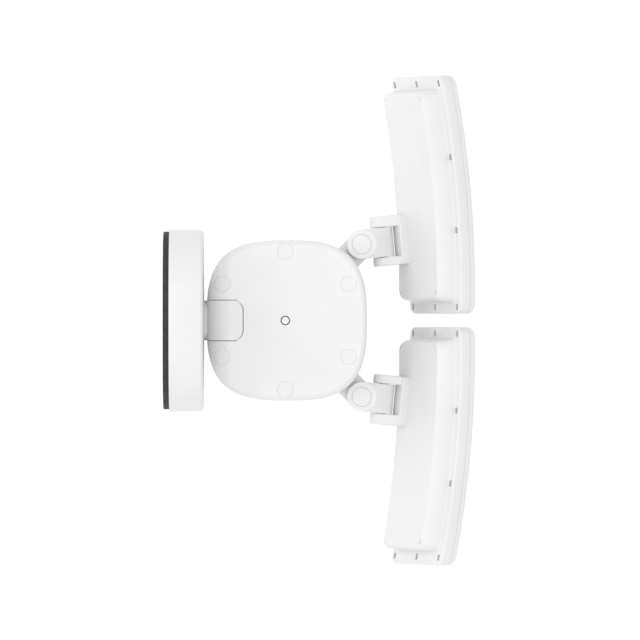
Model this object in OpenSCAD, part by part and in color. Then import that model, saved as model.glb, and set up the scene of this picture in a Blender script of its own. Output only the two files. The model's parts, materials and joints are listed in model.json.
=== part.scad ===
// Wall-hung floodlight security camera.
// Origin: centre of the wall face of the gasket. +Y points into the wall, -Y is the front,
// +Z is up. Right means +X, as seen by someone who stands in front and looks at the wall.

/* [Wall base] */
// Width and height of the wall base cover
base_w = 122; // [118:1:130]
// Depth of the wall base cover
base_depth = 22.5; // [21:0.5:26]
// Thickness of the foam gasket
gasket_t = 4; // [3:0.5:5]
// Spacing of the junction box screws
box_screw_gap = 88.9; // [84:0.1:90]
// Gap between the wall base and the body
body_gap = 2.2; // [2:0.1:4]

/* [Body] */
// Width of the body across its flats
body_w = 107; // [104:1:112]
// Height of the body's top above the base hinge
body_top = 18; // [17:0.5:18]
// Depth of the body below the base hinge
body_bottom = 30; // [30:0.5:34]
// Height of the joint line of the two housings
split_z = -6; // [-6:0.5:-5]
// Wall thickness of the body housings
wall = 3.5; // [3.5:0.1:4]
// Radius of the round edge on the body's top
top_fillet = 3.5; // [2:0.5:4]

/* [Lights] */
// Outward distance of each yaw pivot from the middle
yaw_x = 51; // [51:0.5:53]
// Outer radius of the yaw barrel
barrel_r = 9.8; // [9.5:0.1:10.5]
// Distance from the yaw pivot to the tilt axis
link_len = 14; // [14:0.5:16]
// Length of a light panel
panel_len = 158.5; // [150:0.5:162]
// Gap between the two light panels
panel_gap = 9; // [9:0.5:14]
// Height of a light panel, measured along its face
panel_h = 80; // [78:1:84]
// Radius of the curve of the light's face
panel_r = 680; // [600:10:900]
// Angle of the light's face below the horizontal
panel_tilt = 24.5; // [20:0.5:28]

/* [Camera] */
// Radius of the pan turret
turret_r = 38; // [38:0.5:40]
// Radius of the camera head
head_r = 30; // [29:0.5:30]
// Half the width of the camera head
head_hw = 26; // [25:0.5:26]

/* [Hidden] */
$fn = 64;
e = 0.01; // overlap that makes a cut run clean through
run = 0.05; // radial clearance of a running fit
outline_power = 3; // exponent of the rounded-square outline
outline_pts = 96;
lip_pts = 12;
round_steps = 5;
step_t = 0.1; // thickness of each slice of a rounded edge

// Wall base
cover_front = -(gasket_t + base_depth);
cover_wall = 2.5;
cover_fillet = 1.7;
cover_draft = 0.4;
gasket_inset = 1.65;
wire_hole_r = 13;
wire_hole_z = -24;
plate_t = 2;
plate_arm_w = 24;
plate_len = 104;
slot_r = 2.4;
slot_len = 9;
cover_screw_x = 42;

// Base hinge
hinge_gap_y = body_top + 1.2; // axis stands this far in front of the base cover
hinge_y = cover_front - hinge_gap_y;
knuckle_r = body_top;
arm_w = 26.7;
lip_len = 7.1; // reach of the lip in front of the axis
lip_corner = 7;
lip_r = sqrt(pow(lip_len, 2) + pow(body_top, 2));
slot_clear = 0.45;
gap = 0.3; // clearance between bodies that move past each other
well_r = lip_r + gap;
neck_low = 12;
neck_top = 7;
flange_t = 3;
arm_screw_xz = [[-18, -14], [18, -14], [-18, 10], [18, 10]];
well_wall = 2.5;
cheek_t = 4.2;
well_hw = arm_w / 2 + slot_clear;
hinge_pin_r = 4;

// Body
body_y = cover_front - body_gap - body_w / 2;
centre_y = body_y + 0.9;
plug_r = 5.3;
plug_clear = 0.08;
plug_sunk = 0.25;
plug_xy = [[46, 0], [-46, 0], [24.3, 42.1], [-24.3, 42.1], [24.3, -42.1], [-24.3, -42.1]];
boss_r = 6.7;
centre_hole_r = 3.3;
centre_hole_depth = 5.5;
post_r = 4.5;
screw_head_r = 3;
screw_r = 1.5;
seal_out = body_w / 2 - 1;
seal_w = 1.3;
seal_h = 2.4;

// Lights
link_yaw = 5.3;
yaw_y = centre_y - yaw_x;
light_z = split_z - 5.5;
lug_t = 9;
lug_w = 18.5;
lug_arm_w = 18;
fork_t = 7;
link_w = 19.5;
yaw_pin_r = 4;
ear_r = 7.3;
tilt_pin_r = 3;
ear_out_t = 7.4;
ear_in_t = 5.8;
web_front = 8; // upper part of the bracket's web, measured from the tilt axis
web_low_front = 11; // its lower part leaves room for the link as the light tilts
rim_t = 12;
frame_t = 4.6;
panel_corner = 6.7;
box_depth = 12.6;
box_h = 66;
box_wall = 2;
clip_inset = 4.3;
clip_len = 4;
clip_t = 3;
apex_x = 22; // where the face of a panel stands furthest forward
face_reach = 45.9; // from the tilt axis forward to the face
face_up = 7.5;
panel_x0 = panel_gap / 2;
panel_mid = panel_x0 + panel_len / 2;
face_y = yaw_y - link_len - face_reach;
face_z = light_z + face_up;
fork_z = lug_t / 2 + gap; // underside of the upper fork disc, above the pivot's middle
barrel_h = 2 * (fork_z + fork_t);
box_x0 = panel_x0 + 7.2;
box_x1 = panel_x0 + panel_len - 9.2;
box_back = rim_t + box_depth;
pin_depth = (face_reach + link_len * (1 - cos(link_yaw))) * cos(panel_tilt) - face_up * sin(panel_tilt);

// Camera
turret_top = -(body_bottom + 0.5);
turret_t = 7.5;
hub_r = 13;
bush_r = 16;
bush_t = 3;
tooth = 1; // gear module
pan_teeth = 48;
pinion_teeth = 12;
tilt_teeth = 24;
tilt_z = turret_top - turret_t - head_r - 4;
arm_gap = 1;
yoke_t = 7;
shaft_r = 4;
head_split = -6; // joint of the head's shells, behind the window
window_y = 24;
window_hw = 21;
window_hh = 14;
lens_front = -window_y + 1.9;
lens_x = 10;
led_x = 17;
led_z = 9;
image_board_y = -14.8; // keeps the board in front of the tilt gear
lens_len = image_board_y - lens_front;
motor_x = -tooth * (pan_teeth + pinion_teeth) / 2;
tilt_motor_d = tooth * (tilt_teeth + pinion_teeth) / 2;

// ---------- shared shapes ----------
function outline_at(half, a) =
    half / pow(pow(abs(cos(a)), outline_power) + pow(abs(sin(a)), outline_power), 1 / outline_power);

module squircle(half)
    polygon([for (i = [0 : outline_pts - 1]) let (a = 360 * i / outline_pts)
        outline_at(half, a) * [cos(a), sin(a)]]);

// Rounded-square slab from z = 0 to h with a round edge at its top
module round_slab(half, h, fillet, draft = 0) {
    hull() {
        linear_extrude(h - fillet) squircle(half);
        if (draft > 0) linear_extrude(step_t) squircle(half + draft);
        for (i = [1 : round_steps])
            let (a = 90 * i / round_steps)
            translate([0, 0, h - fillet + (fillet - step_t) * sin(a)])
                linear_extrude(step_t) squircle(half - fillet + fillet * cos(a));
    }
}

// Stands a shape that was drawn upwards on the wall, its z pointing to the front
module from_wall(y) translate([0, y, 0]) rotate([90, 0, 0]) children();

module slot(r, len) {
    square([2 * r, len - 2 * r], center = true);
    for (s = [-1, 1]) translate([0, s * (len / 2 - r)]) circle(r);
}

module x_cylinder(r, x0, x1) translate([x0, 0, 0]) rotate([0, 90, 0]) cylinder(r = r, h = x1 - x0);

// Screw with a low head; the tip is at z = 0 and the head is on top
module screw(r, len, head_r, head_t) {
    cylinder(r = r, h = len + e);
    translate([0, 0, len]) difference() {
        cylinder(r = head_r, h = head_t);
        translate([0, 0, head_t / 2]) cylinder(r = head_r / 2, h = head_t, $fn = 6);
    }
}

// Involute spur gear with shortened teeth; a tooth points along angle 0
function inv(a) = tan(a) * 180 / PI - a;
function half_tooth(n, r) =
    let (rp = tooth * n / 2, rb = rp * cos(25), rr = max(r, rb))
    (tooth * PI / 2 - 0.2) / 2 / rp * 180 / PI + inv(25) - inv(acos(min(1, rb / rr)));
module gear(n, h) {
    rp = tooth * n / 2;
    root = rp - tooth;
    tip = rp + 0.75 * tooth;
    radii = [for (k = [0 : 4]) root + (tip - root) * k / 4];
    linear_extrude(h) polygon([for (i = [0 : n - 1]) each concat(
        [for (k = [0 : 4]) let (a = 360 * i / n - half_tooth(n, radii[k])) radii[k] * [cos(a), sin(a)]],
        [for (k = [4 : -1 : 0]) let (a = 360 * i / n + half_tooth(n, radii[k])) radii[k] * [cos(a), sin(a)]]
    )]);
}

// ---------- wall base ----------
module wall_gasket() color([0.1, 0.1, 0.1]) from_wall(0) difference() {
    linear_extrude(gasket_t) squircle(base_w / 2 - gasket_inset);
    translate([0, wire_hole_z, -e]) cylinder(r = wire_hole_r, h = gasket_t + 2 * e);
    for (s = [-1, 1]) translate([0, s * box_screw_gap / 2, -e]) linear_extrude(gasket_t + 2 * e)
        slot(slot_r + 2, slot_len + 4);
}

module mounting_plate() color([0.7, 0.7, 0.72]) from_wall(-gasket_t) difference() {
    linear_extrude(plate_t) {
        square([plate_len, plate_arm_w], center = true);
        square([plate_arm_w, plate_len], center = true);
        circle(40);
    }
    translate([0, wire_hole_z, -e]) cylinder(r = wire_hole_r - 1, h = plate_t + 2 * e);
    for (s = [-1, 1]) {
        translate([0, s * box_screw_gap / 2, -e]) linear_extrude(plate_t + 2 * e) slot(slot_r, slot_len);
        translate([s * cover_screw_x, 0, -e]) cylinder(r = screw_r, h = plate_t + 2 * e);
    }
}

module base_cover() color("white") from_wall(-gasket_t) difference() {
    round_slab(base_w / 2 - cover_draft, base_depth, cover_fillet, cover_draft);
    translate([0, 0, -e]) linear_extrude(base_depth - cover_wall + e)
        squircle(base_w / 2 - cover_wall - cover_draft);
    linear_extrude(base_depth + 1) scale([1.04, 1]) lip_plan(neck_top + 0.5, neck_low + 0.5);
    for (s = [-1, 1]) translate([s * cover_screw_x, 0, 0]) {
        cylinder(r = 2.2, h = base_depth + 1);
        translate([0, 0, base_depth - 1.2]) cylinder(r = 4.3, h = 2);
    }
}

module base_cover_screws() color([0.75, 0.75, 0.76])
    for (s = [-1, 1]) translate([s * cover_screw_x, 0, 0]) from_wall(-gasket_t)
        screw(screw_r, base_depth - 1.2, 3.8, 1.1);

// Outline of the lip: reach in front of the axis at the distance x from its middle
function lip_at(x) =
    let (u = max(0, abs(x) - arm_w / 2 + lip_corner))
    lip_len - lip_corner + sqrt(max(0, pow(lip_corner, 2) - pow(u, 2)));
lip_x = [for (i = [-lip_pts : lip_pts]) arm_w / 2 * sin(90 * i / lip_pts)];
module lip_plan(reach, tail) polygon(concat(
    [for (x = lip_x) [x, lip_at(x) - lip_len + reach]],
    [[arm_w / 2, -tail], [-arm_w / 2, -tail]]
));

module at_hinge() translate([0, hinge_y, 0]) rotate([0, 90, 0]) children();
module arm_screw_holes(r, len) for (p = arm_screw_xz)
    translate([p.x, cover_front, p.y]) rotate([-90, 0, 0]) cylinder(r = r, h = len);

// Arm with its flange behind the cover, its neck, and the round knuckle with its lip
module hinge_arm() color("white") difference() {
    union() {
        at_hinge() cylinder(r = knuckle_r, h = arm_w, center = true);
        intersection() {
            at_hinge() cylinder(r = lip_r, h = arm_w, center = true);
            translate([0, hinge_y, body_top - 6]) mirror([0, 1, 0]) linear_extrude(6) lip_plan(lip_len, 1);
        }
        translate([0, cover_front + cover_wall + 1, 0]) rotate([90, 0, 0])
            linear_extrude(hinge_gap_y + cover_wall + 1) lip_plan(neck_top, neck_low);
        translate([-22, cover_front + cover_wall, -19]) cube([44, flange_t, 34]);
    }
    at_hinge() cylinder(r = hinge_pin_r + run, h = arm_w + 2, center = true);
    arm_screw_holes(screw_r + 0.2, 10);
}

// Screws from behind the flange into the cover's front wall
module arm_screws() color([0.75, 0.75, 0.76]) for (p = arm_screw_xz)
    translate([p.x, cover_front + cover_wall + flange_t, p.y]) rotate([-90, 0, 0]) cylinder(r = 2.6, h = 1.8);

// ---------- body ----------
module at_plugs() for (p = plug_xy) translate([p.x, centre_y + p.y, 0]) children();

// Space that the arm sweeps as the body swings up
module hinge_slot() {
    at_hinge() rotate_extrude($fn = 128) polygon(concat(
        [[0, -well_hw], [knuckle_r + gap, -well_hw]],
        [for (x = lip_x) [sqrt(pow(lip_at(x), 2) + pow(body_top, 2)) + gap, x]],
        [[knuckle_r + gap, well_hw], [0, well_hw]]
    ));
    translate([-well_hw, hinge_y, -neck_low - 1]) cube([2 * well_hw, well_r + 5, neck_low + body_top + 2]);
}
module hinge_well() intersection() {
    at_hinge() cylinder(r = well_r + well_wall, h = 2 * (well_hw + cheek_t), center = true);
    translate([0, body_y, -body_bottom]) linear_extrude(body_top + body_bottom) squircle(body_w / 2 - 0.5);
}

module seal_groove(clear = 0) translate([0, body_y, split_z - seal_h / 2 - clear]) difference() {
    linear_extrude(seal_h + 2 * clear) squircle(seal_out + clear);
    translate([0, 0, -e]) linear_extrude(seal_h + 1) squircle(seal_out - seal_w - clear);
    translate([-well_hw - cheek_t - 1 + clear, 25, -e])
        cube([2 * (well_hw + cheek_t + 1 - clear), 40, seal_h + 1]);
}

// All that lies in front of the hinge, below it, or inside a round of radius r about it
module rolled_back(r) {
    translate([-80, hinge_y - 150, -60]) cube([160, 150, 60 + body_top + 1]);
    translate([-80, hinge_y - e, -60]) cube([160, 60, 60]);
    at_hinge() cylinder(r = r, h = 160, center = true);
}

module top_housing() color("white") difference() {
    intersection() {
        rolled_back(knuckle_r);
        top_housing_shell();
    }
    hinge_slot();
    at_hinge() cylinder(r = hinge_pin_r, h = 60, center = true);
    for (i = [0 : 5]) translate([plug_xy[i].x, centre_y + plug_xy[i].y, 0]) {
        translate([0, 0, plug_floor(i)]) cylinder(r = plug_r, h = body_top);
        translate([0, 0, 9]) cylinder(r = screw_head_r + 0.3, h = body_top);
        translate([0, 0, split_z - 1]) cylinder(r = screw_r + 0.2, h = body_top);
    }
    translate([0, centre_y, body_top - centre_hole_depth]) cylinder(r = centre_hole_r, h = 7);
    translate([0, centre_y, 0]) cylinder(r = screw_r + 0.3, h = body_top);
    seal_groove();
}
// The two plugs next to the wall sit deeper, under the rolled edge
function plug_floor(i) = i == 2 || i == 3 ? 12 : body_top - 1.6;

module top_housing_shell() {
    difference() {
        translate([0, body_y, split_z]) round_slab(body_w / 2, body_top - split_z, top_fillet);
        intersection() {
            translate([0, body_y, split_z - e])
                linear_extrude(body_top - split_z - wall) squircle(body_w / 2 - wall);
            rolled_back(knuckle_r - wall);
        }
    }
    intersection() {
        hinge_well();
        translate([-40, body_y, split_z]) cube([80, 60, body_top - split_z - 1]);
    }
    intersection() {
        at_plugs() translate([0, 0, split_z]) cylinder(r = boss_r, h = body_top - split_z - 1);
        translate([0, body_y, split_z]) linear_extrude(30) squircle(body_w / 2 - 0.5);
    }
    translate([0, centre_y, 3]) cylinder(r = boss_r, h = body_top - 4);
}

// Lug that reaches out from the body along the diagonal to a yaw pivot
module lug_shape(side) translate([side * yaw_x, yaw_y, light_z - lug_t / 2]) {
    cylinder(r = lug_w / 2, h = lug_t);
    rotate([0, 0, side > 0 ? 135 : 45]) translate([0, -lug_arm_w / 2, 2 * e])
        cube([17, lug_arm_w, lug_t - 4 * e]);
}

module bottom_housing() color("white") difference() {
    union() {
        difference() {
            translate([0, body_y, split_z]) mirror([0, 0, 1])
                round_slab(body_w / 2, body_bottom + split_z, 4);
            translate([0, body_y, -body_bottom + 3])
                linear_extrude(body_bottom) squircle(body_w / 2 - wall);
        }
        intersection() {
            hinge_well();
            translate([-40, body_y, -body_bottom + 1]) cube([80, 60, body_bottom + split_z - 1]);
        }
        intersection() {
            at_plugs() translate([0, 0, -body_bottom + 2])
                cylinder(r = post_r, h = body_bottom + split_z - 2);
            translate([0, body_y, -body_bottom]) linear_extrude(40) squircle(body_w / 2 - 1);
        }
        for (side = [-1, 1]) difference() {
            lug_shape(side);
            translate([0, body_y, -body_bottom]) linear_extrude(50) squircle(body_w / 2 - 1);
        }
    }
    hinge_slot();
    at_plugs() translate([0, 0, -21]) cylinder(r = screw_r, h = 30);
    translate([0, centre_y, -body_bottom - 1]) cylinder(r = bush_r, h = 5);
    for (side = [-1, 1]) translate([side * yaw_x, yaw_y, light_z - lug_t])
        cylinder(r = yaw_pin_r + run, h = 2 * lug_t);
    at_speaker() for (a = [0 : 60 : 300]) rotate([0, 0, a]) translate([4.5, 0, -10]) cylinder(r = 1, h = 20);
    at_speaker() translate([0, 0, -10]) cylinder(r = 1, h = 20);
    at_button() translate([0, 0, -1]) cylinder(r = 4, h = 5);
    at_card() translate([-5, -2, -1]) cube([10, 4, 5]);
    at_card() translate([-8.3, -4.3, -e]) cube([16.6, 8.6, 1.6]);
    seal_groove();
}
module at_speaker() translate([0, centre_y - 40, -body_bottom]) children();
module at_button() translate([-34, centre_y + 34, -body_bottom]) children();
module at_card() translate([34, centre_y + 35, -body_bottom]) rotate([0, 0, -45]) children();

module body_seal() color([0.25, 0.25, 0.26]) seal_groove(-0.05);

module screw_plugs() color("white") intersection() {
    for (i = [0 : 5]) translate([plug_xy[i].x, centre_y + plug_xy[i].y, plug_floor(i)])
        cylinder(r = plug_r - plug_clear, h = body_top - plug_sunk - plug_floor(i));
    rolled_back(knuckle_r - plug_sunk);
}

module housing_screws() color([0.75, 0.75, 0.76]) at_plugs() translate([0, 0, -20])
    screw(screw_r - 0.05, 29, screw_head_r, 2.4);

module centre_screw() color([0.85, 0.85, 0.86]) translate([0, centre_y, -16])
    screw(screw_r, body_top - centre_hole_depth + 16, 2.2, centre_hole_depth - 1.2);

module base_hinge_pin() color([0.75, 0.75, 0.76]) at_hinge()
    cylinder(r = hinge_pin_r, h = 2 * (well_hw + cheek_t), center = true);

module main_board() color([0.1, 0.35, 0.2]) translate([0, 0, -1]) difference() {
    translate([-36, centre_y - 34, 0]) cube([72, 44, 1.6]);
    translate([0, centre_y, -1]) cylinder(r = 3, h = 4);
    for (x = [-34, 34]) translate([x, centre_y - 32, -1]) cylinder(r = 1.2, h = 4);
}

module driver_module() color([0.85, 0.8, 0.3]) translate([0, centre_y - 20, 0.6]) {
    for (x = [-22, 4]) translate([x, -8, 0]) cube([18, 16, 11]);
    for (x = [-30, 30]) translate([x, 0, 0]) cylinder(r = 4, h = 12);
}

module wifi_antennas() color([0.2, 0.3, 0.2]) for (s = [-1, 1])
    translate([s * 45.5 - 0.5, body_y - 22, 1]) cube([1, 14, 10]);

module speaker() color([0.15, 0.15, 0.15]) at_speaker() translate([0, 0, 3]) {
    cylinder(r = 8, h = 2);
    cylinder(r = 5.5, h = 6);
}

// Bridge over the pan gear that carries the motor and takes the centre screw
module pan_frame() color([0.6, 0.6, 0.62]) translate([0, centre_y, 0]) difference() {
    union() {
        translate([-41, -13, -19]) cube([78, 26, 2]);
        for (x = [-41, 35]) translate([x, -13, -body_bottom + 3]) cube([2, 26, body_bottom - 20]);
        translate([0, 0, -19]) cylinder(r = 4.5, h = 8);
    }
    translate([0, 0, -20]) cylinder(r = screw_r, h = 12);
    translate([motor_x, 0, -20]) cylinder(r = 3.5, h = 5);
}

module pan_bush() color([0.85, 0.8, 0.65]) translate([0, centre_y, -body_bottom]) difference() {
    cylinder(r = bush_r, h = bush_t);
    translate([0, 0, -1]) cylinder(r = hub_r + run, h = bush_t + 2);
}

module pan_motor() color([0.7, 0.7, 0.72]) translate([motor_x, centre_y, -17]) difference() {
    cylinder(r = 8.5, h = 14);
    translate([0, 0, -1]) cylinder(r = 1.55, h = 9);
}

module pan_pinion() color([0.9, 0.9, 0.85]) translate([motor_x, centre_y, -26.5]) {
    rotate([0, 0, 180 / pinion_teeth]) gear(pinion_teeth, 3.5);
    cylinder(r = 1.5, h = 17);
}

module sync_button() color([0.6, 0.6, 0.62]) at_button() {
    translate([0, 0, -0.5]) cylinder(r = 3.7, h = 3.3);
    translate([0, 0, 2]) cylinder(r = 2, h = 4);
}

module card_door() color([0.8, 0.8, 0.8]) at_card() {
    translate([-8, -3.4, 0]) cube([16, 7.4, 1.5]);
    translate([0, -3.4, 0.75]) x_cylinder(0.7, -8, 8);
}

// ---------- lights; drawn for the right-hand side and mirrored for the left ----------
module on_side(side) mirror([side < 0 ? 1 : 0, 0, 0]) children();
module at_pivot() translate([yaw_x, yaw_y, light_z]) rotate([0, 0, link_yaw]) children();

module light_link(side) color("white") on_side(side) at_pivot() difference() {
    hull() {
        cylinder(r = barrel_r, h = barrel_h, center = true);
        translate([0, -link_len, 0]) rotate([0, 90, 0]) cylinder(r = ear_r, h = link_w, center = true);
    }
    cylinder(r = lug_w / 2 + 0.4, h = 2 * fork_z, center = true);
    translate([-12, -5, -fork_z]) cube([24, 20, 2 * fork_z]);
    cylinder(r = yaw_pin_r, h = barrel_h + 1, center = true);
    translate([0, 0, barrel_h / 2 - 2]) cylinder(r = 6.6, h = 3);
    translate([0, -link_len, 0]) rotate([0, 90, 0]) cylinder(r = tilt_pin_r + run, h = 40, center = true);
}

module yaw_pin(side) color([0.75, 0.75, 0.76]) on_side(side) at_pivot()
    translate([0, 0, -barrel_h / 2 + 1]) cylinder(r = yaw_pin_r, h = barrel_h - 3);

// Domed cap that closes the yaw barrel
module yaw_cap(side) color("white") on_side(side) at_pivot() translate([0, 0, barrel_h / 2 - 2])
    rotate_extrude() intersection() {
        translate([0, -57.6]) circle(60, $fn = 360);
        square([6.5, 3]);
    }

module tilt_pin(side) color([0.75, 0.75, 0.76]) on_side(side) at_pivot() translate([0, -link_len, 0])
    x_cylinder(tilt_pin_r, -link_w / 2 - gap - ear_in_t + 1, link_w / 2 + gap + ear_out_t - 1);

// Panel frame: x runs along the panel, z up its face and y from the face to the back
module at_panel() translate([0, face_y, face_z]) rotate([panel_tilt, 0, 0]) children();
module arc_cut(t) translate([apex_x, panel_r + t, -60]) cylinder(r = panel_r, h = 120, $fn = 1440);
module round_rect(x0, x1, h, r) {
    translate([x0 + r, -h / 2]) square([x1 - x0 - 2 * r, h]);
    translate([x0, -h / 2 + r]) square([x1 - x0, h - 2 * r]);
    for (x = [x0 + r, x1 - r], z = [-h / 2 + r, h / 2 - r]) translate([x, z]) circle(r);
}
// Curved plate between depths t0 and t1 behind the face, with the outline inset all round
module curved(t0, t1, inset, r)
    slab(t0, t1, panel_x0 + inset, panel_x0 + panel_len - inset, panel_h - 2 * inset, r);
module slab(t0, t1, x0, x1, h, r) difference() {
    intersection() {
        translate([0, 60, 0]) rotate([90, 0, 0]) linear_extrude(70) round_rect(x0, x1, h, r);
        arc_cut(t0);
    }
    arc_cut(t1);
}

module at_clips() {
    for (x = [panel_x0 + clip_inset, panel_x0 + panel_len - clip_inset - 1], z = [-34.4, 0, 34.4])
        translate([x, 0, z]) children();
    for (x = [60, 108.5], z = [-1, 1]) translate([x, 0, z * (panel_h / 2 - clip_inset)]) children();
}
module clip_bars(len, t, y0, y1) intersection() {
    at_clips() translate([-len / 2, 0, -t / 2]) cube([len, 40, t]);
    curved(y0, y1, 0.5, 6);
}

// Bracket on the panel's back with the two ears that hold the tilt pin
module bracket() translate([0, -link_len, 0]) rotate([panel_tilt, 0, 0]) {
    reach = pin_depth - box_back + 3;
    for (s = [[link_w / 2 + gap, ear_out_t], [-link_w / 2 - gap - ear_in_t, ear_in_t]]) hull() {
        x_cylinder(ear_r, s[0], s[0] + s[1]);
        translate([s[0], -reach, -5.9]) cube([s[1], 2, 18.5]);
    }
    for (w = [[-5.9, web_low_front, 18.5], [0.5, web_front, 12.1]])
        translate([-link_w / 2 - gap - ear_in_t, -reach, w[0]])
            cube([link_w + 2 * gap + ear_in_t + ear_out_t, reach - w[1], w[2]]);
}

module rear_housing(side) color("white") on_side(side) difference() {
    union() {
        at_panel() {
            curved(frame_t, rim_t, 0, panel_corner);
            slab(rim_t - 1, box_back, box_x0, box_x1, box_h, 5);
        }
        difference() {
            at_pivot() bracket();
            at_panel() slab(-20, box_back - 1, -20, 190, 120, 5);
        }
    }
    at_panel() difference() {
        slab(frame_t - 1, box_back - box_wall, box_x0 + box_wall, box_x1 - box_wall, box_h - 2 * box_wall, 3);
        for (x = [30, 82, 134], z = [-24, 24]) translate([x, 0, z]) rotate([-90, 0, 0])
            intersection() {
                cylinder(r = 3, h = 50);
                rotate([90, 0, 0]) translate([-x, 0, -z]) slab(frame_t + 2, 40, 0, 180, 80, 3);
            }
    }
    at_panel() difference() {
        curved(frame_t - 1, frame_t + 1, 2, 5);
        curved(frame_t - 2, frame_t + 2, 3.4, 4);
    }
    at_panel() clip_bars(clip_len, clip_t, rim_t - 3, rim_t + 1);
    at_pivot() translate([0, -link_len, 0]) x_cylinder(tilt_pin_r, -30, 30);
}

module front_frame(side) color("white") on_side(side) at_panel() difference() {
    curved(0, frame_t, 0, panel_corner);
    curved(-1, frame_t + 1, 5.5, 3);
}
module diffuser(side) color([0.93, 0.94, 0.95]) on_side(side) at_panel() curved(0.6, 3.4, 5.6, 2.9);
module led_board(side) color([0.92, 0.92, 0.9]) on_side(side) at_panel() {
    slab(frame_t + 0.4, frame_t + 2, box_x0 + 3, box_x1 - 3, box_h - 8, 3);
    for (x = [24 : 12 : 144], z = [-18, 0, 18]) translate([x, 0, z]) intersection() {
        translate([-1.75, 0, -1.75]) cube([3.5, 40, 3.5]);
        translate([-x, 0, -z]) slab(frame_t - 0.3, frame_t + 0.4, 0, 170, 70, 3);
    }
}
module panel_seal(side) color([0.25, 0.25, 0.26]) on_side(side) at_panel() difference() {
    curved(frame_t, frame_t + 0.95, 2.05, 4.95);
    curved(frame_t - 1, frame_t + 2, 3.35, 4.05);
}
module panel_clips(side) color([0.12, 0.12, 0.12]) on_side(side) at_panel()
    clip_bars(clip_len - 0.2, clip_t - 0.2, rim_t - 3, rim_t - 1.4);

// ---------- camera ----------
module pan_turret() color("white") translate([0, centre_y, 0]) difference() {
    union() {
        translate([0, 0, turret_top]) rotate_extrude() difference() {
            translate([0, -turret_t]) square([turret_r, turret_t]);
            difference() {
                translate([turret_r - 4, -turret_t - 1]) square([5, 5]);
                translate([turret_r - 4, -turret_t + 4]) circle(4);
            }
        }
        translate([0, 0, turret_top - e]) cylinder(r = hub_r, h = 9);
        for (s = [-1, 1]) hull() {
            at_yoke(s) x_cylinder(14, 0, yoke_t);
            at_yoke(s) translate([0, -12, 30]) cube([yoke_t, 24, 4]);
        }
    }
    translate([0, 0, turret_top - turret_t - 1]) cylinder(r = 9, h = 30);
    translate([0, 0, tilt_z]) rotate([0, 90, 0]) cylinder(r = shaft_r, h = 80, center = true);
}
module at_yoke(s) translate([s > 0 ? head_hw + arm_gap : -head_hw - arm_gap - yoke_t, 0, tilt_z]) children();

module pan_gear() color([0.9, 0.9, 0.85]) translate([0, centre_y, -26.5]) difference() {
    gear(pan_teeth, 3.5);
    translate([0, 0, -1]) cylinder(r = hub_r, h = 6);
}

// Fixed shafts in the yoke arms that the head swings on
module at_tilt() translate([0, centre_y, tilt_z]) children();
module tilt_shafts() color([0.75, 0.75, 0.76]) at_tilt() for (s = [0, 1]) mirror([s, 0, 0])
    x_cylinder(shaft_r, 13, head_hw + arm_gap + yoke_t - 1);

module tilt_gear() color([0.9, 0.9, 0.85]) at_tilt() translate([14, 0, 0]) rotate([0, 90, 0]) difference() {
    gear(tilt_teeth, 4);
    translate([0, 0, -1]) cylinder(r = shaft_r, h = 6);
}

module head_profile(inset) intersection() {
    square([head_r - inset, 2 * head_hw], center = false);
    union() {
        translate([0, inset]) square([head_r - 8, 2 * head_hw - 2 * inset]);
        translate([0, 8]) square([head_r - inset, 2 * head_hw - 16]);
        for (y = [8, 2 * head_hw - 8]) translate([head_r - 8, y]) circle(8 - inset);
    }
}
module head_drum(inset) at_tilt() translate([-head_hw, 0, 0]) rotate([0, 90, 0])
    rotate_extrude($fn = 128) head_profile(inset);
module head_wall() difference() {
    head_drum(0);
    head_drum(2.2);
    at_tilt() rotate([0, 90, 0]) cylinder(r = shaft_r + run, h = 80, center = true);
}
module head_rear_shell() color("white") intersection() {
    head_wall();
    at_tilt() translate([-50, head_split, -50]) cube([100, 100, 100]);
}
module head_front_shell() color("white") difference() {
    intersection() {
        union() {
            head_wall();
            intersection() {
                head_drum(0);
                at_tilt() translate([-50, -window_y, -50]) cube([100, 2.5, 100]);
            }
        }
        at_tilt() translate([-50, -window_y, -50]) cube([100, window_y + head_split, 100]);
    }
    at_tilt() translate([0, -window_y + 1.8, 0]) rotate([90, 0, 0]) linear_extrude(5)
        square([2 * window_hw, 2 * window_hh], center = true);
    at_tilt() translate([0, -window_y - 1, 0]) rotate([-90, 0, 0]) {
        for (x = [-lens_x, lens_x]) translate([x, 0, 0]) cylinder(r = 7.1, h = 6);
        for (x = [-led_x, led_x], z = [-led_z, led_z]) translate([x, z, 0]) cylinder(r = 1.6, h = 6);
    }
}
module camera_window() color([0.04, 0.04, 0.05])
    at_tilt() translate([0, -window_y + 1.7, 0]) rotate([90, 0, 0]) linear_extrude(1.7)
         round_rect(-window_hw + 0.1, window_hw - 0.1, 2 * window_hh - 0.2, 3);

module lens(x, r) at_tilt() translate([x, lens_front, 0]) rotate([-90, 0, 0]) {
    difference() {
        cylinder(r = 7, h = lens_len - 1);
        translate([0, 0, -e]) cylinder(r = r, h = 2);
    }
    translate([0, 0, lens_len - 1.5]) cylinder(r = 6, h = 1.5);
}
module wide_lens() color([0.1, 0.1, 0.12]) lens(-lens_x, 5.4);
module tele_lens() color([0.1, 0.1, 0.12]) lens(lens_x, 4);
module infrared_leds() color([0.2, 0.1, 0.12]) for (x = [-led_x, led_x], z = [-led_z, led_z])
    at_tilt() translate([x, lens_front, z]) rotate([-90, 0, 0]) cylinder(r = 1.5, h = lens_len);
module image_board() color([0.1, 0.35, 0.2]) at_tilt()
    translate([-21, image_board_y, -13]) cube([42, 1.4, 26]);
module tilt_motor() color([0.7, 0.7, 0.72]) at_tilt() translate([-4, 0, 0]) rotate([45, 0, 0])
    translate([0, 0, -tilt_motor_d]) difference() {
        x_cylinder(7, 0, 13);
        x_cylinder(1.55, 6, 14);
    }
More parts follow.
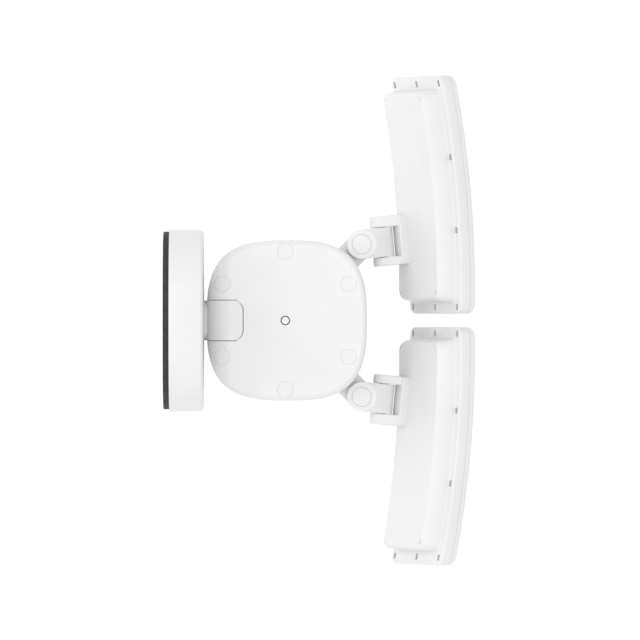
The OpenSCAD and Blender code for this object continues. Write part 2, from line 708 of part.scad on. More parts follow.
module tilt_pinion() color([0.9, 0.9, 0.85]) at_tilt() rotate([45, 0, 0]) translate([0, 0, -tilt_motor_d]) {
    translate([14, 0, 0]) rotate([0, 90, 0]) rotate([0, 0, 180 / pinion_teeth]) gear(pinion_teeth, 4);
    x_cylinder(1.5, 3, 15);
}

wall_gasket();
mounting_plate();
base_cover();
base_cover_screws();
hinge_arm();
arm_screws();
top_housing();
bottom_housing();
body_seal();
screw_plugs();
housing_screws();
centre_screw();
base_hinge_pin();
main_board();
driver_module();
wifi_antennas();
speaker();
pan_frame();
pan_bush();
pan_motor();
pan_pinion();
sync_button();
card_door();
light_link(1);  // right_light_link
yaw_pin(1);  // right_yaw_pin
yaw_cap(1);  // right_yaw_cap
tilt_pin(1);  // right_tilt_pin
rear_housing(1);  // right_rear_housing
front_frame(1);  // right_front_frame
diffuser(1);  // right_diffuser
led_board(1);  // right_led_board
panel_seal(1);  // right_panel_seal
panel_clips(1);  // right_panel_clips
light_link(-1);  // left_light_link
yaw_pin(-1);  // left_yaw_pin
yaw_cap(-1);  // left_yaw_cap
tilt_pin(-1);  // left_tilt_pin
rear_housing(-1);  // left_rear_housing
front_frame(-1);  // left_front_frame
diffuser(-1);  // left_diffuser
led_board(-1);  // left_led_board
panel_seal(-1);  // left_panel_seal
panel_clips(-1);  // left_panel_clips
pan_turret();
pan_gear();
tilt_shafts();
tilt_gear();
head_rear_shell();
head_front_shell();
camera_window();
wide_lens();
tele_lens();
infrared_leds();
image_board();
tilt_motor();
tilt_pinion();
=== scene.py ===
import json
import math

import bmesh
import bpy
from mathutils import Matrix, Vector


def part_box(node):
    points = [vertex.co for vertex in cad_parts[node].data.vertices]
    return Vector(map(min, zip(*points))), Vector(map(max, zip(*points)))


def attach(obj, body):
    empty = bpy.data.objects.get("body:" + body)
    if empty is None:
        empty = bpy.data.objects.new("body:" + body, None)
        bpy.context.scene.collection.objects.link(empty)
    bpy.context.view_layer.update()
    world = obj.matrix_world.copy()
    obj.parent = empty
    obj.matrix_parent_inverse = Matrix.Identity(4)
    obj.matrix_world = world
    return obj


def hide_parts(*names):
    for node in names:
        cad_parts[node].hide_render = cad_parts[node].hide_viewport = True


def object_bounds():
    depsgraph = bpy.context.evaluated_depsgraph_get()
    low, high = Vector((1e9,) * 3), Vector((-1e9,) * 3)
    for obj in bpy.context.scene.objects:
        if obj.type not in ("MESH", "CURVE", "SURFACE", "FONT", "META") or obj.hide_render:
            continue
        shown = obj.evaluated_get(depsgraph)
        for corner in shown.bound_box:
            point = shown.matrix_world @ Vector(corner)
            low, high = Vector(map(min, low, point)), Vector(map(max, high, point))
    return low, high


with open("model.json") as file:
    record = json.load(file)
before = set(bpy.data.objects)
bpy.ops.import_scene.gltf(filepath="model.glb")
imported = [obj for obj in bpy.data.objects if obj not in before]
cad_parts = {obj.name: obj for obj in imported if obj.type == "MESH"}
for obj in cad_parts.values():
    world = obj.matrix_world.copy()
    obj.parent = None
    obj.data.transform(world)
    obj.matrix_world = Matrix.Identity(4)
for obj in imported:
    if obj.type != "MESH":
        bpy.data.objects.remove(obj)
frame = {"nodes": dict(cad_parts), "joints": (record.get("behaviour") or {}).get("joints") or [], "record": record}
CAD_BOX = [list(c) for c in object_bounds()]

MM = 0.001
JOINTS = {j["name"]: j for j in frame["joints"]}
SIDES = {"right": 1, "left": -1}

# The light panel's design, in millimetres, as the CAD has it
PANEL_TILT = 24.5
LINK_YAW = 5.3
LINK_LEN = 14.0
CURVE_R = 680.0
APEX_X = 22.0
FACE_FROM_YAW = Vector((0, -59.9, 7.5))
FRAME_T = 4.6
RIM_T = 12.0
BOX_T = 24.6
PANEL_CORNER = 6.7
LO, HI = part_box("right_front_frame")
PANEL_X0, PANEL_X1 = LO.x / MM, HI.x / MM
PANEL_HALF_H = 40.0


# ------------------------------------------------------------------- helpers
def new_object(name, data):
    obj = bpy.data.objects.new(name, data)
    bpy.context.scene.collection.objects.link(obj)
    return obj


def new_mesh(name, bm):
    mesh = bpy.data.meshes.new(name)
    bm.to_mesh(mesh)
    bm.free()
    return mesh


def add_hull(bm, points):
    bmesh.ops.convex_hull(bm, input=[bm.verts.new(p) for p in points])


# ----------------------------------------------------------------- materials
EDGE_REACH = 0.0005


class Nodes:
    """A new material's node tree, with short calls for the nodes that the materials share."""

    def __init__(self, name):
        self.mat = bpy.data.materials.new(name)
        self.mat.use_nodes = True
        self.tree = self.mat.node_tree
        self.shader = self.tree.nodes["Principled BSDF"]
        self.coords = self.add("ShaderNodeTexCoord").outputs["Object"]

    def add(self, kind, **settings):
        node = self.tree.nodes.new(kind)
        for key, value in settings.items():
            setattr(node, key, value)
        return node

    def link(self, a, b):
        self.tree.links.new(a, b)

    def noise(self, scale, detail=3.0, stretch=(1, 1, 1)):
        node = self.add("ShaderNodeTexNoise")
        node.inputs["Scale"].default_value = scale
        node.inputs["Detail"].default_value = detail
        self.link(self.stretched(stretch), node.inputs["Vector"])
        return node.outputs["Fac"]

    def stretched(self, stretch):
        if tuple(stretch) == (1, 1, 1):
            return self.coords
        node = self.add("ShaderNodeMapping")
        node.inputs["Scale"].default_value = stretch
        self.link(self.coords, node.inputs["Vector"])
        return node.outputs["Vector"]

    def cells(self, scale):
        node = self.add("ShaderNodeTexVoronoi", feature="F1")
        node.inputs["Scale"].default_value = scale
        self.link(self.coords, node.inputs["Vector"])
        return node.outputs["Distance"]

    def spread(self, value, low, high, to_low=0.0, to_high=1.0):
        node = self.add("ShaderNodeMapRange", clamp=True)
        node.inputs["From Min"].default_value = low
        node.inputs["From Max"].default_value = high
        node.inputs["To Min"].default_value = to_low
        node.inputs["To Max"].default_value = to_high
        self.link(value, node.inputs["Value"])
        return node.outputs["Result"]

    def mix(self, factor, a, b):
        node = self.add("ShaderNodeMix", data_type="RGBA")
        self.link(factor, node.inputs["Factor"])
        for socket, value in ((node.inputs[6], a), (node.inputs[7], b)):
            if isinstance(value, bpy.types.NodeSocket):
                self.link(value, socket)
            else:
                socket.default_value = (*value, 1)
        return node.outputs[2]

    def bump(self, height, depth, before=None):
        """depth is in metres."""
        node = self.add("ShaderNodeBump")
        node.inputs["Strength"].default_value = 1.0
        node.inputs["Distance"].default_value = depth
        self.link(height, node.inputs["Height"])
        if before is not None:
            self.link(before, node.inputs["Normal"])
        return node.outputs["Normal"]

    def edges(self):
        """1 on edges and 0 on plain faces, from how far the normal turns within EDGE_REACH; it is the mask for the
        painted edge highlight.
        """
        rounded = self.add("ShaderNodeBevel", samples=4)
        rounded.inputs["Radius"].default_value = EDGE_REACH
        turn = self.add("ShaderNodeVectorMath", operation="DOT_PRODUCT")
        self.link(rounded.outputs["Normal"], turn.inputs[0])
        self.link(self.add("ShaderNodeNewGeometry").outputs["Normal"], turn.inputs[1])
        return self.spread(turn.outputs["Value"], 0.99, 0.8)


def shade(color, factor):
    return tuple(min(1.0, c * factor) for c in color)


def moulded(name, color, rough=0.42, grain=1800.0, depth=4e-6, drift=0.03, edge_highlight=1.05, coat=0.0):
    """Injection-moulded plastic: spark-eroded grain, slow flow marks and a painted highlight that makes its edges
    a little lighter.
    """
    n = Nodes(name)
    flow = n.spread(n.noise(22, 4), 0.35, 0.65)
    tone = n.mix(flow, shade(color, 1 - drift), color)
    # painted highlight: the edges mask mixes in a lighter copy of the colour
    n.link(n.mix(n.edges(), tone, shade(color, edge_highlight)), n.shader.inputs["Base Color"])
    smears = n.noise(60, 5, (1, 1, 0.35))
    n.link(n.spread(smears, 0.3, 0.7, rough - 0.05, rough + 0.07), n.shader.inputs["Roughness"])
    pits = n.bump(n.noise(grain, 2), depth)
    n.link(n.bump(n.noise(28, 2), 2.5e-5, pits), n.shader.inputs["Normal"])
    n.shader.inputs["Coat Weight"].default_value = coat
    n.shader.inputs["Coat Roughness"].default_value = 0.25
    n.shader.inputs["IOR"].default_value = 1.48
    return n.mat


def plated(name, color, rough=0.28, stretch=(1, 1, 14), scale=500.0):
    """Metal with drawn or rolled lines, small stains and a painted highlight that brightens its edges."""
    n = Nodes(name)
    lines = n.noise(scale, 3, stretch)
    stains = n.spread(n.noise(70, 6), 0.45, 0.7)
    tone = n.mix(stains, color, shade(color, 0.82))
    # painted highlight: the edges mask mixes in a brighter copy of the colour
    n.link(n.mix(n.edges(), tone, shade(color, 1.2)), n.shader.inputs["Base Color"])
    n.link(n.spread(lines, 0.3, 0.7, rough - 0.08, rough + 0.12), n.shader.inputs["Roughness"])
    n.link(n.bump(lines, 6e-6), n.shader.inputs["Normal"])
    n.shader.inputs["Metallic"].default_value = 1.0
    return n.mat


def foam(name, color):
    """Closed-cell foam: round cells of two sizes, with painted shade in the low middles of the large cells and
    their raised rims painted lighter.
    """
    n = Nodes(name)
    big, small = n.cells(900), n.cells(2600)
    # painted shade and light: the large cells' height sets the colour, darker where low and lighter where high
    tone = n.mix(n.spread(big, 0.1, 0.7), shade(color, 0.6), shade(color, 1.5))
    n.link(tone, n.shader.inputs["Base Color"])
    n.link(n.spread(n.noise(200), 0.3, 0.7, 0.8, 0.95), n.shader.inputs["Roughness"])
    n.link(n.bump(small, 1.2e-4, n.bump(big, 3e-4)), n.shader.inputs["Normal"])
    return n.mat


def opal(name, color):
    """Opal diffuser with a fine prism pattern in rows."""
    n = Nodes(name)
    tone = n.mix(n.spread(n.noise(16, 3), 0.35, 0.65), shade(color, 0.95), color)
    n.link(tone, n.shader.inputs["Base Color"])
    prisms = n.add("ShaderNodeTexVoronoi", feature="F1", distance="CHEBYCHEV")
    prisms.inputs["Scale"].default_value = 420
    prisms.inputs["Randomness"].default_value = 0.0
    n.link(n.coords, prisms.inputs["Vector"])
    n.link(n.bump(prisms.outputs["Distance"], 2.2e-4), n.shader.inputs["Normal"])
    n.link(n.spread(n.noise(90, 4), 0.3, 0.7, 0.24, 0.36), n.shader.inputs["Roughness"])
    n.shader.inputs["Subsurface Weight"].default_value = 0.25
    n.shader.inputs["Subsurface Scale"].default_value = 0.003
    n.shader.inputs["Coat Weight"].default_value = 0.3
    return n.mat


def glossy_black(name, color):
    """Smoked front window: nearly black, polished, with faint wipe marks."""
    n = Nodes(name)
    tone = n.mix(n.spread(n.noise(30, 4), 0.4, 0.7), color, shade(color, 1.8))
    n.link(tone, n.shader.inputs["Base Color"])
    n.link(n.spread(n.noise(50, 6, (1, 4, 1)), 0.4, 0.8, 0.04, 0.12), n.shader.inputs["Roughness"])
    n.link(n.bump(n.noise(14, 1), 1e-5), n.shader.inputs["Normal"])
    n.shader.inputs["Coat Weight"].default_value = 0.6
    n.shader.inputs["Coat Roughness"].default_value = 0.02
    return n.mat


def coated_glass(name, tint):
    """Lens glass with a coloured coating that is stronger in places."""
    n = Nodes(name)
    tone = n.mix(n.spread(n.noise(260, 2), 0.35, 0.65), tint, shade(tint, 2.4))
    n.link(tone, n.shader.inputs["Base Color"])
    n.link(n.spread(n.noise(90, 4), 0.3, 0.8, 0.02, 0.06), n.shader.inputs["Roughness"])
    n.shader.inputs["Coat Weight"].default_value = 1.0
    n.shader.inputs["Coat Roughness"].default_value = 0.01
    n.shader.inputs["IOR"].default_value = 1.6
    return n.mat


def circuit(name, mask, trace):
    """Circuit board: solder mask over a pattern of straight traces."""
    n = Nodes(name)
    bricks = n.add("ShaderNodeTexBrick")
    bricks.inputs["Scale"].default_value = 260
    bricks.inputs["Mortar Size"].default_value = 0.03
    n.link(n.coords, bricks.inputs["Vector"])
    lines = n.spread(bricks.outputs["Fac"], 0.2, 0.8)
    n.link(n.mix(lines, mask, trace), n.shader.inputs["Base Color"])
    n.link(n.spread(n.noise(400), 0.3, 0.7, 0.28, 0.42), n.shader.inputs["Roughness"])
    n.link(n.bump(lines, 3e-5), n.shader.inputs["Normal"])
    return n.mat


WHITE = (0.75, 0.75, 0.753)
MATERIALS = {
    "white_plastic": moulded("white_plastic", WHITE, 0.44),
    "gasket_foam": foam("gasket_foam", (0.03, 0.03, 0.032)),
    "steel": plated("steel", (0.62, 0.62, 0.64)),
    "seal_rubber": moulded("seal_rubber", (0.04, 0.04, 0.042), 0.7, 900, 1.5e-5, 0.2, 1.4),
    "light_rubber": moulded("light_rubber", (0.74, 0.74, 0.745), 0.62, 900, 1.2e-5, 0.06, 1.03),
    "diffuser": opal("diffuser", (0.88, 0.89, 0.9)),
    "dark_plastic": moulded("dark_plastic", (0.035, 0.035, 0.038), 0.5, 1500, 6e-6, 0.2, 1.5),
    "grey_plastic": moulded("grey_plastic", (0.42, 0.42, 0.44), 0.45, 1500, 5e-6, 0.08, 1.15),
    "gear_plastic": moulded("gear_plastic", (0.8, 0.78, 0.7), 0.35, 1200, 3e-6, 0.05, 1.06),
    "board_green": circuit("board_green", (0.01, 0.13, 0.05), (0.03, 0.26, 0.1)),
    "board_white": circuit("board_white", (0.85, 0.85, 0.83), (0.75, 0.76, 0.75)),
    "driver_parts": moulded("driver_parts", (0.7, 0.5, 0.08), 0.3, 700, 1e-5, 0.15, 1.1),
    "motor_can": plated("motor_can", (0.6, 0.6, 0.62), 0.32, (14, 14, 1)),
    "bronze": plated("bronze", (0.6, 0.38, 0.16), 0.45, (1, 1, 1), 1500),
    "window_glass": glossy_black("window_glass", (0.012, 0.012, 0.015)),
    "lens_glass": coated_glass("lens_glass", (0.02, 0.015, 0.05)),
    "body_shell": moulded("body_shell", WHITE, 0.4, 1500),
    "panel_shell": moulded("panel_shell", WHITE, 0.46, 1700, 4.5e-6),
    "lens_rim": moulded("lens_rim", (0.02, 0.02, 0.022), 0.25, 1500, 3e-6, 0.1, 2.0, 0.4),
}
SPECIAL = {"top_housing": "body_shell", "bottom_housing": "body_shell", "base_cover": "body_shell"}

# ------------------------------------------------------------------- CAD nodes
# How far each node's sharp edges are broken, in millimetres; the rest take EDGE
EDGE = 0.25
EDGES = {
    "hinge_arm": 0.35, "top_housing": 0.3, "bottom_housing": 0.3, "base_cover": 0.3,
    "pan_turret": 0.6, "head_front_shell": 0.3, "head_rear_shell": 0.3, "screw_plugs": 0.2,
    "right_light_link": 0.6, "left_light_link": 0.6, "wall_gasket": 0.4, "card_door": 0.3,
    "pan_gear": 0.1, "tilt_gear": 0.1, "pan_pinion": 0.08, "tilt_pinion": 0.08,
    "housing_screws": 0.12, "centre_screw": 0.15, "base_cover_screws": 0.15,
    "right_panel_seal": 0.1, "left_panel_seal": 0.1, "body_seal": 0.1,
    "right_panel_clips": 0.08, "left_panel_clips": 0.08,
}


def smooth(obj):
    for polygon in obj.data.polygons:
        polygon.use_smooth = True


def sharpen(obj):
    obj.modifiers.new("normals", "WEIGHTED_NORMAL").keep_sharp = False


# What counts as a large flat face, in square millimetres, and how far off its plane a corner may be
FLAT_AREA = 60.0
FLAT_WITHIN = 5e-6
WELD_WITHIN = 2e-6
FLATTEN_DEGREES = 0.05
SHARP_DEGREES = 32


def keep_flat(obj):
    """Shades the triangles of large flat faces flat, so that no light runs across them in wedges."""
    areas = {}
    for polygon in obj.data.polygons:
        n = polygon.normal
        plane = (round(n.x, 2), round(n.y, 2), round(n.z, 2), round(n.dot(polygon.center) / MM, 1))
        areas.setdefault(plane, []).append(polygon)
    large = []
    for faces in areas.values():
        if sum(f.area for f in faces) > FLAT_AREA * MM**2:
            biggest = max(faces, key=lambda f: f.area)
            large.append((biggest.normal.copy(), biggest.center.copy()))
    points = [v.co for v in obj.data.vertices]
    for polygon in obj.data.polygons:
        polygon.use_smooth = not any(
            all(abs(n.dot(points[i] - centre)) < FLAT_WITHIN for i in polygon.vertices)
            for n, centre in large)


def break_edges(obj, width, segments=3, weld=True):
    """Rounds an object's sharp edges by width millimetres and keeps its flat faces flat."""
    if weld:
        obj.modifiers.new("weld", "WELD").merge_threshold = WELD_WITHIN
        keep_flat(obj)
        flatten = obj.modifiers.new("flatten", "DECIMATE")
        flatten.decimate_type = "DISSOLVE"
        flatten.angle_limit = math.radians(FLATTEN_DEGREES)
    bevel = obj.modifiers.new("bevel", "BEVEL")
    bevel.width = width * MM
    bevel.segments = segments
    bevel.limit_method = "ANGLE"
    bevel.angle_limit = math.radians(SHARP_DEGREES)
    bevel.miter_outer = "MITER_ARC"
    if weld:
        bevel.harden_normals = True
    else:
        smooth(obj)
        sharpen(obj)


def paint(obj, material):
    obj.data.materials.clear()
    obj.data.materials.append(MATERIALS[material])


def finish_cad_nodes():
    slots = {s["node"]: s["material_slot"] for s in frame["record"]["subparts"]}
    for name, obj in frame["nodes"].items():
        paint(obj, SPECIAL.get(name, slots[name]))
        if "custom_normal" in obj.data.attributes:
            obj.data.attributes.remove(obj.data.attributes["custom_normal"])
        break_edges(obj, EDGES.get(name, EDGE))


# ------------------------------------------------------------------- new pieces
def add_piece(name, mesh, body, material, replaces=()):
    obj = new_object(name, mesh)
    paint(obj, material)
    smooth(obj)
    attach(obj, body)
    if replaces:
        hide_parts(*replaces)
    return obj


def cap(bm, row, apex):
    """Closes a ring that is symmetric about its point number apex with strips straight across it."""
    count = len(row)
    across = [(row[(apex + k) % count], row[(apex - k) % count]) for k in range(count // 2 + 1)]
    for (a, b), (c, d) in zip(across, across[1:]):
        corners = [v for i, v in enumerate((a, c, d, b)) if v not in (a, c, d, b)[:i]]
        bm.faces.new(corners)


def loft(name, rings, closed, apex=0):
    """Joins rings of equally many points, and joins the last to the first if closed, or caps both."""
    bm = bmesh.new()
    rows = [[bm.verts.new(p) for p in ring] for ring in rings]
    pairs = list(zip(rows, rows[1:])) + ([(rows[-1], rows[0])] if closed else [])
    for a, b in pairs:
        for i in range(len(a)):
            j = (i + 1) % len(a)
            bm.faces.new((a[i], a[j], b[j], b[i]))
    if not closed:
        cap(bm, rows[0], apex)
        cap(bm, rows[-1], apex)
    bmesh.ops.recalc_face_normals(bm, faces=bm.faces)
    return new_mesh(name, bm)


class Panel:
    """Places points of a light panel: x along it, z up its face, depth back from its curved face."""

    def __init__(self, side):
        self.sign = SIDES[side]
        yaw = Vector(JOINTS[side + "_yaw"]["pos_m"])
        self.origin = Vector((0, yaw.y, yaw.z)) + FACE_FROM_YAW * MM
        self.turn = Matrix.Rotation(math.radians(PANEL_TILT), 3, "X")

    def at(self, x, z, depth):
        sag = CURVE_R - math.sqrt(CURVE_R**2 - (x - APEX_X) ** 2)
        p = self.origin + self.turn @ (Vector((0, sag + depth, z)) * MM)
        return Vector((self.sign * x * MM, p.y, p.z))

    def ring(self, inner, outer, edge, depth, corner):
        """Rounded rectangle, set in by inner, outer and edge from the panel's ends and long sides."""
        x0, x1, h = PANEL_X0 + inner, PANEL_X1 - outer, PANEL_HALF_H - edge
        r = min(corner, h, (x1 - x0) / 2)
        return [self.at(x, z, depth) for x, z in rounded_outline(x0, x1, h, r)]


LONG_STEPS, SHORT_STEPS, CORNER_STEPS = 48, 12, 8
RING_APEX = -SHORT_STEPS // 2  # the point half-way up a ring's outer end


def rounded_outline(x0, x1, h, r):
    corners = [(x1 - r, h - r, 0), (x0 + r, h - r, 90), (x0 + r, r - h, 180), (x1 - r, r - h, 270)]
    points = []
    for k, (cx, cz, start) in enumerate(corners):
        arc = []
        for i in range(CORNER_STEPS + 1):
            a = math.radians(start + 90 * i / CORNER_STEPS)
            arc.append((cx + r * math.cos(a), cz + r * math.sin(a)))
        points += arc
        nx, nz, following = corners[(k + 1) % 4]
        a = math.radians(following)
        end = (nx + r * math.cos(a), nz + r * math.sin(a))
        steps = LONG_STEPS if k % 2 == 0 else SHORT_STEPS
        for i in range(1, steps):
            t = i / steps
            points.append(tuple(a + (b - a) * t for a, b in zip(arc[-1], end)))
    return points


def even_ring(panel, inset, depth):
    return panel.ring(inset, inset, inset, depth, max(PANEL_CORNER - inset, 0.8))


def quarter(radius, steps, inset, depth, turn):
    """Insets and depths round a convex edge; turn says which way it goes."""
    rows = []
    for i in range(steps + 1):
        a = math.radians(90 * i / steps)
        if turn == "face_to_side":
            rows.append((inset + radius * (1 - math.sin(a)), depth + radius * (1 - math.cos(a))))
        else:
            rows.append((inset + radius * (1 - math.cos(a)), depth - radius * (1 - math.sin(a))))
    return rows


FRAME_ROUND = 3.6
FLANGE_ROUND = 1.3
BOX_ROUND = 2.6
FOOT_ROUND = 1.2
# Insets of the last ring before a loft is capped
PLATE_MIDDLE = 34.0
BOX_MIDDLE = 30.9


def front_frame(side):
    panel = Panel(side)
    profile = [(5.45, 0.55), (5.2, 0.15), (4.9, 0.0)]
    profile += quarter(FRAME_ROUND, 8, 0.0, 0.0, "face_to_side")
    profile += [(0.0, FRAME_T - 0.35), (0.12, FRAME_T - 0.1), (0.35, FRAME_T - 0.02)]
    profile += [(5.45, FRAME_T - 0.02)]
    rings = [even_ring(panel, inset, depth) for inset, depth in profile]
    mesh = loft(side + "_front_frame_shell", rings, True)
    obj = add_piece(side + "_front_frame_shell", mesh, side + "_panel", "panel_shell",
                    [side + "_front_frame"])
    sharpen(obj)


def diffuser(side):
    """Opal plate with a raised middle, a step round its edge and a flat back."""
    panel = Panel(side)
    profile = [(PLATE_MIDDLE, 0.62), (20.0, 0.62), (9.0, 0.64), (7.4, 0.7), (6.6, 0.82), (6.3, 1.05),
               (5.75, 1.1), (5.62, 1.25), (5.62, 3.3), (5.8, 3.4), (9.0, 3.4), (PLATE_MIDDLE, 3.4)]
    rings = [even_ring(panel, inset, depth) for inset, depth in profile]
    mesh = loft(side + "_diffuser_plate", rings, False, RING_APEX)
    obj = add_piece(side + "_diffuser_plate", mesh, side + "_panel", "diffuser",
                    [side + "_diffuser"])
    sharpen(obj)


# Insets of the rear box from the panel's inner end, outer end and long sides
BOX_FOOT = (7.2, 9.0, 6.2)
BOX_TOP = (10.0, 11.6, 8.3)
BOX_WALL = 2.2


def between(a, b, t):
    return tuple(p + (q - p) * t for p, q in zip(a, b))


def rear_shell_rings(panel):
    def box_ring(insets, extra, depth, corner):
        return panel.ring(insets[0] + extra, insets[1] + extra, insets[2] + extra, depth, corner)

    # The hollow side, from its middle to the rim
    rings = [box_ring(BOX_TOP, extra, BOX_T - BOX_WALL, max(4 - extra, 0.8))
             for extra in (BOX_MIDDLE, 18, 6)]
    rings.append(box_ring(BOX_TOP, BOX_WALL, BOX_T - BOX_WALL - 0.4, 3.0))
    rings.append(box_ring(BOX_FOOT, BOX_WALL, RIM_T, 4.0))
    rings.append(box_ring(BOX_FOOT, BOX_WALL, FRAME_T + 3, 4.0))
    rings += [even_ring(panel, inset, depth) for inset, depth in
              [(4.6, FRAME_T + 0.03), (0.35, FRAME_T + 0.03), (0.1, FRAME_T + 0.14),
               (0.0, FRAME_T + 0.4)]]
    # Rim, flange, and the fillet at the foot of the box
    rings += [even_ring(panel, inset, depth)
              for inset, depth in quarter(FLANGE_ROUND, 5, 0.0, RIM_T, "side_to_back")]
    for i in range(5):
        a = math.radians(90 * i / 4)
        extra = -FOOT_ROUND * (1 - math.sin(a))
        rings.append(box_ring(BOX_FOOT, extra, RIM_T + FOOT_ROUND * (1 - math.cos(a)), 6.0))
    # Wall with its draft, then the round edge and the back
    edge_depth = BOX_T - BOX_ROUND
    rings.append(box_ring(between(BOX_FOOT, BOX_TOP, 0.9), -BOX_ROUND * 0.15, edge_depth, 6.0))
    for i in range(1, 7):
        a = math.radians(90 * i / 6)
        extra = BOX_ROUND * (1 - math.cos(a)) - BOX_ROUND * 0.1
        rings.append(box_ring(BOX_TOP, extra, edge_depth + BOX_ROUND * math.sin(a), 6.0))
    rings += [box_ring(BOX_TOP, extra, BOX_T, max(6 - extra, 0.8))
              for extra in (BOX_ROUND * 0.9 + 0.25, 3.4, 6, 12, 18, 24, BOX_MIDDLE)]
    return rings


CLIP_LEN, CLIP_T, CLIP_INSET = 4.0, 3.0, 4.3
CLIP_DEPTHS = (RIM_T - 2.6, RIM_T + 0.8)
CLIP_ROWS = (-34.4, 0.0, 34.4)
CLIP_COLUMNS = (60.0, 108.5)


def clip_places():
    for z in CLIP_ROWS:
        yield PANEL_X0 + CLIP_INSET, z
        yield PANEL_X1 - CLIP_INSET - 1, z
    for x in CLIP_COLUMNS:
        for z in (CLIP_INSET - PANEL_HALF_H, PANEL_HALF_H - CLIP_INSET):
            yield x, z


def clip_cutter(panel):
    """Small blocks that cut the clip slots into the flange."""
    bm = bmesh.new()
    for x, z in clip_places():
        corners = []
        for dx in (-CLIP_LEN / 2, CLIP_LEN / 2):
            for dz in (-CLIP_T / 2, CLIP_T / 2):
                for depth in CLIP_DEPTHS:
                    corners.append(panel.at(x + dx, z + dz, depth))
        add_hull(bm, corners)
    return new_mesh("clip_cutter", bm)


def cut(obj, cutter_mesh):
    """Cuts the mesh out of obj and keeps only the result."""
    tool = new_object("tool", cutter_mesh)
    boolean = obj.modifiers.new("cut", "BOOLEAN")
    boolean.operation, boolean.solver, boolean.object = "DIFFERENCE", "EXACT", tool
    bpy.context.view_layer.update()
    result = bpy.data.meshes.new_from_object(obj.evaluated_get(bpy.context.evaluated_depsgraph_get()))
    obj.modifiers.remove(boolean)
    obj.data = result
    bpy.data.objects.remove(tool)


CUT_SHARP_DEGREES = 50


def rear_housing(side):
    panel = Panel(side)
    mesh = loft(side + "_rear_shell", rear_shell_rings(panel), False, RING_APEX)
    obj = add_piece(side + "_rear_shell", mesh, side + "_panel", "panel_shell",
                    [side + "_rear_housing"])
    cut(obj, clip_cutter(panel))
    smooth(obj)
    obj.data.set_sharp_from_angle(angle=math.radians(CUT_SHARP_DEGREES))


# Bracket with the two ears, in millimetres about the tilt axis
EAR_R, EAR_STEPS = 7.3, 48
EARS = ((10.05, 17.45), (-15.85, -10.05))
ROOT_BACK, ROOT_LOW, ROOT_HIGH, ROOT_T = 17.06, -5.9, 12.6, 2
# Steps of the web between the ears: low edge, high edge, front
WEB = ((ROOT_LOW + 0.3, 0.7, 11.0), (0.5, ROOT_HIGH - 0.3, 8.0))


def bracket(side):
    sign = SIDES[side]
    yaw = Matrix.Translation(Vector(JOINTS[side + "_yaw"]["pos_m"]))
    place = (yaw @ Matrix.Scale(sign, 4, (1, 0, 0)) @ Matrix.Rotation(math.radians(LINK_YAW), 4, "Z")
             @ Matrix.Translation((0, -LINK_LEN * MM, 0))
             @ Matrix.Rotation(math.radians(PANEL_TILT), 4, "X"))
    bm = bmesh.new()
    for x0, x1 in EARS:
        points = [(EAR_R * math.cos(a), EAR_R * math.sin(a)) for a in
                  (math.radians(360 * i / EAR_STEPS) for i in range(EAR_STEPS))]
        points += [(-ROOT_BACK, ROOT_LOW), (-ROOT_BACK, ROOT_HIGH),
                   (ROOT_T - ROOT_BACK, ROOT_HIGH), (ROOT_T - ROOT_BACK, ROOT_LOW)]
        add_hull(bm, [place @ (Vector((x, y, z)) * MM) for x in (x0, x1) for y, z in points])
    x0, x1 = EARS[1][0] + 0.4, EARS[0][1] - 0.4
    for low, high, front in WEB:
        add_hull(bm, [place @ (Vector((x, y, z)) * MM) for x in (x0, x1)
                      for y in (-ROOT_BACK, -front) for z in (low, high)])
    bmesh.ops.dissolve_limit(bm, angle_limit=math.radians(1), verts=bm.verts, edges=bm.edges)
    bmesh.ops.recalc_face_normals(bm, faces=bm.faces)
    obj = add_piece(side + "_bracket", new_mesh(side + "_bracket", bm), side + "_panel", "panel_shell",
                    [side + "_rear_housing"])
    break_edges(obj, 0.9, 4, weld=False)


LENS_RADII = {"wide_lens": 6.2, "tele_lens": 4.8}
ROUND_STEPS = 64
ROUND_ANGLES = [2 * math.pi * i / ROUND_STEPS for i in range(ROUND_STEPS)]


def revolve(name, profile, centre, axis):
    """Closed solid of revolution; profile rows are (radius, distance along axis) in millimetres."""
    turn = Vector((0, 0, 1)).rotation_difference(axis).to_matrix()
    rings = []
    for r, h in profile:
        rings.append([centre + turn @ (Vector((r * math.cos(a), r * math.sin(a), h)) * MM)
                      for a in ROUND_ANGLES])
    return loft(name, rings, False)


def camera_eyes():
    """Rims and domed front glasses of the two lenses, let into the smoked window."""
    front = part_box("camera_window")[0].y
    for name, radius in LENS_RADII.items():
        lo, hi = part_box(name)
        centre = Vector(((lo.x + hi.x) / 2, front, (lo.z + hi.z) / 2))
        rim = [(radius, -1.5), (radius + 1.5, -1.5), (radius + 1.5, 0.35), (radius + 1.3, 0.55),
               (radius + 0.5, 0.55), (radius + 0.1, 0.3), (radius, -0.2)]
        rings = []
        for r, h in rim:
            rings.append([centre + Vector((r * math.cos(a), -h, r * math.sin(a))) * MM
                          for a in ROUND_ANGLES])
        mesh = loft(name + "_rim", rings, True)
        sharpen(add_piece(name + "_rim", mesh, "camera_head", "lens_rim"))
        dome = [(radius - 0.05, -1.4)] + [
            (radius * math.cos(math.radians(a)) + 0.02, -1.0 + 1.4 * math.sin(math.radians(a)))
            for a in range(0, 90, 10)] + [(0.15, 0.4)]
        mesh = revolve(name + "_glass", dome, centre, Vector((0, -1, 0)))
        add_piece(name + "_glass", mesh, "camera_head", "lens_glass")


# ------------------------------------------------------------------- studio
MM_PER_PIXEL = 2 / 3
IMAGE_SIDE = 640
CAMERA_LENS = 600.0
SENSOR = 36.0
# Framing and studio, in metres
CAMERA_OFFSET_X = 0.0003
FLOOR_HALF = 30.0
FLOOR_DROP = 0.25
STUDIO_MIDDLE = (0, -0.1, 0)


def aim(obj, place, target):
    obj.location = place
    obj.rotation_euler = (Vector(target) - Vector(place)).to_track_quat("-Z", "Y").to_euler()


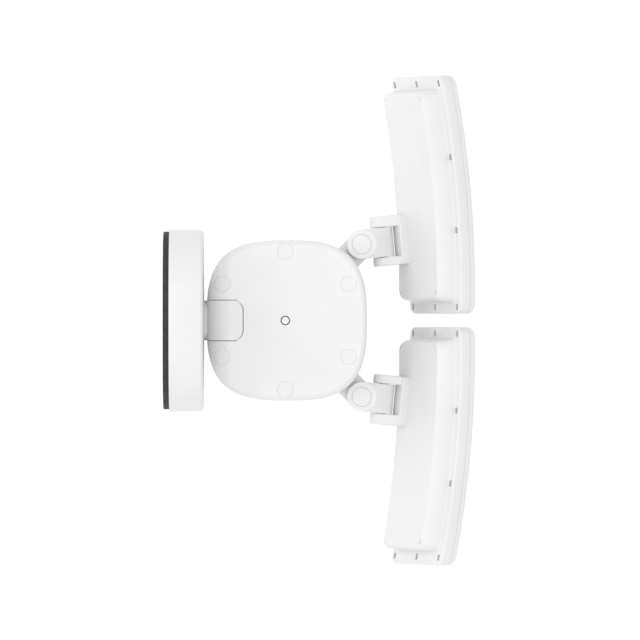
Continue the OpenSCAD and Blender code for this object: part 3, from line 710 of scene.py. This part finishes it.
def camera():
    """Looks straight down from far above, with the wall on the left and +X up the image."""
    data = bpy.data.cameras.new("camera")
    obj = new_object("camera", data)
    data.lens, data.sensor_width = CAMERA_LENS, SENSOR
    distance = IMAGE_SIDE * MM_PER_PIXEL * MM * CAMERA_LENS / SENSOR
    lo, hi = (Vector(c) for c in CAD_BOX)
    middle = (lo + hi) / 2
    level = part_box("top_housing")[1].z
    obj.location = (middle.x + CAMERA_OFFSET_X, middle.y, level + distance)
    # image right is -Y and image up is +X
    obj.rotation_euler = Matrix(((0, 1, 0), (-1, 0, 0), (0, 0, 1))).to_euler()
    data.clip_start, data.clip_end = 0.1, distance + 5
    bpy.context.scene.camera = obj


def area_light(name, place, target, size, power):
    data = bpy.data.lights.new(name, "AREA")
    data.shape = "RECTANGLE"
    data.size, data.size_y = size, size
    data.energy = power
    aim(new_object(name, data), place, target)


def studio():
    world = bpy.data.worlds.new("studio")
    bpy.context.scene.world = world
    world.use_nodes = True
    sky = world.node_tree.nodes["Background"]
    sky.inputs["Color"].default_value = (1, 1, 1, 1)
    sky.inputs["Strength"].default_value = 0.86
    bpy.context.scene.view_settings.view_transform = "Standard"
    area_light("key", (0.25, 1.6, 0.9), STUDIO_MIDDLE, 1.3, 8)
    area_light("fill", (-1.3, -0.9, 0.9), STUDIO_MIDDLE, 1.4, 1.5)
    sun = new_object("ceiling", bpy.data.lights.new("ceiling", "SUN"))
    sun.data.energy, sun.data.angle = 0.75, math.radians(40)
    mesh = bpy.data.meshes.new("floor")
    level = CAD_BOX[0][2] - FLOOR_DROP
    corners = ((-1, -1), (1, -1), (1, 1), (-1, 1))
    mesh.from_pydata([(x * FLOOR_HALF, y * FLOOR_HALF, level) for x, y in corners], [], [(0, 1, 2, 3)])
    floor = new_object("floor", mesh)
    n = Nodes("floor_paint")
    n.link(n.mix(n.spread(n.noise(3), 0.3, 0.7), (0.96, 0.96, 0.96), (0.97, 0.97, 0.97)),
           n.shader.inputs["Base Color"])
    n.shader.inputs["Roughness"].default_value = 0.9
    mesh.materials.append(n.mat)


finish_cad_nodes()
for light in SIDES:
    rear_housing(light)
    bracket(light)
    front_frame(light)
    diffuser(light)
camera_eyes()
studio()
camera()

bpy.context.view_layer.update()
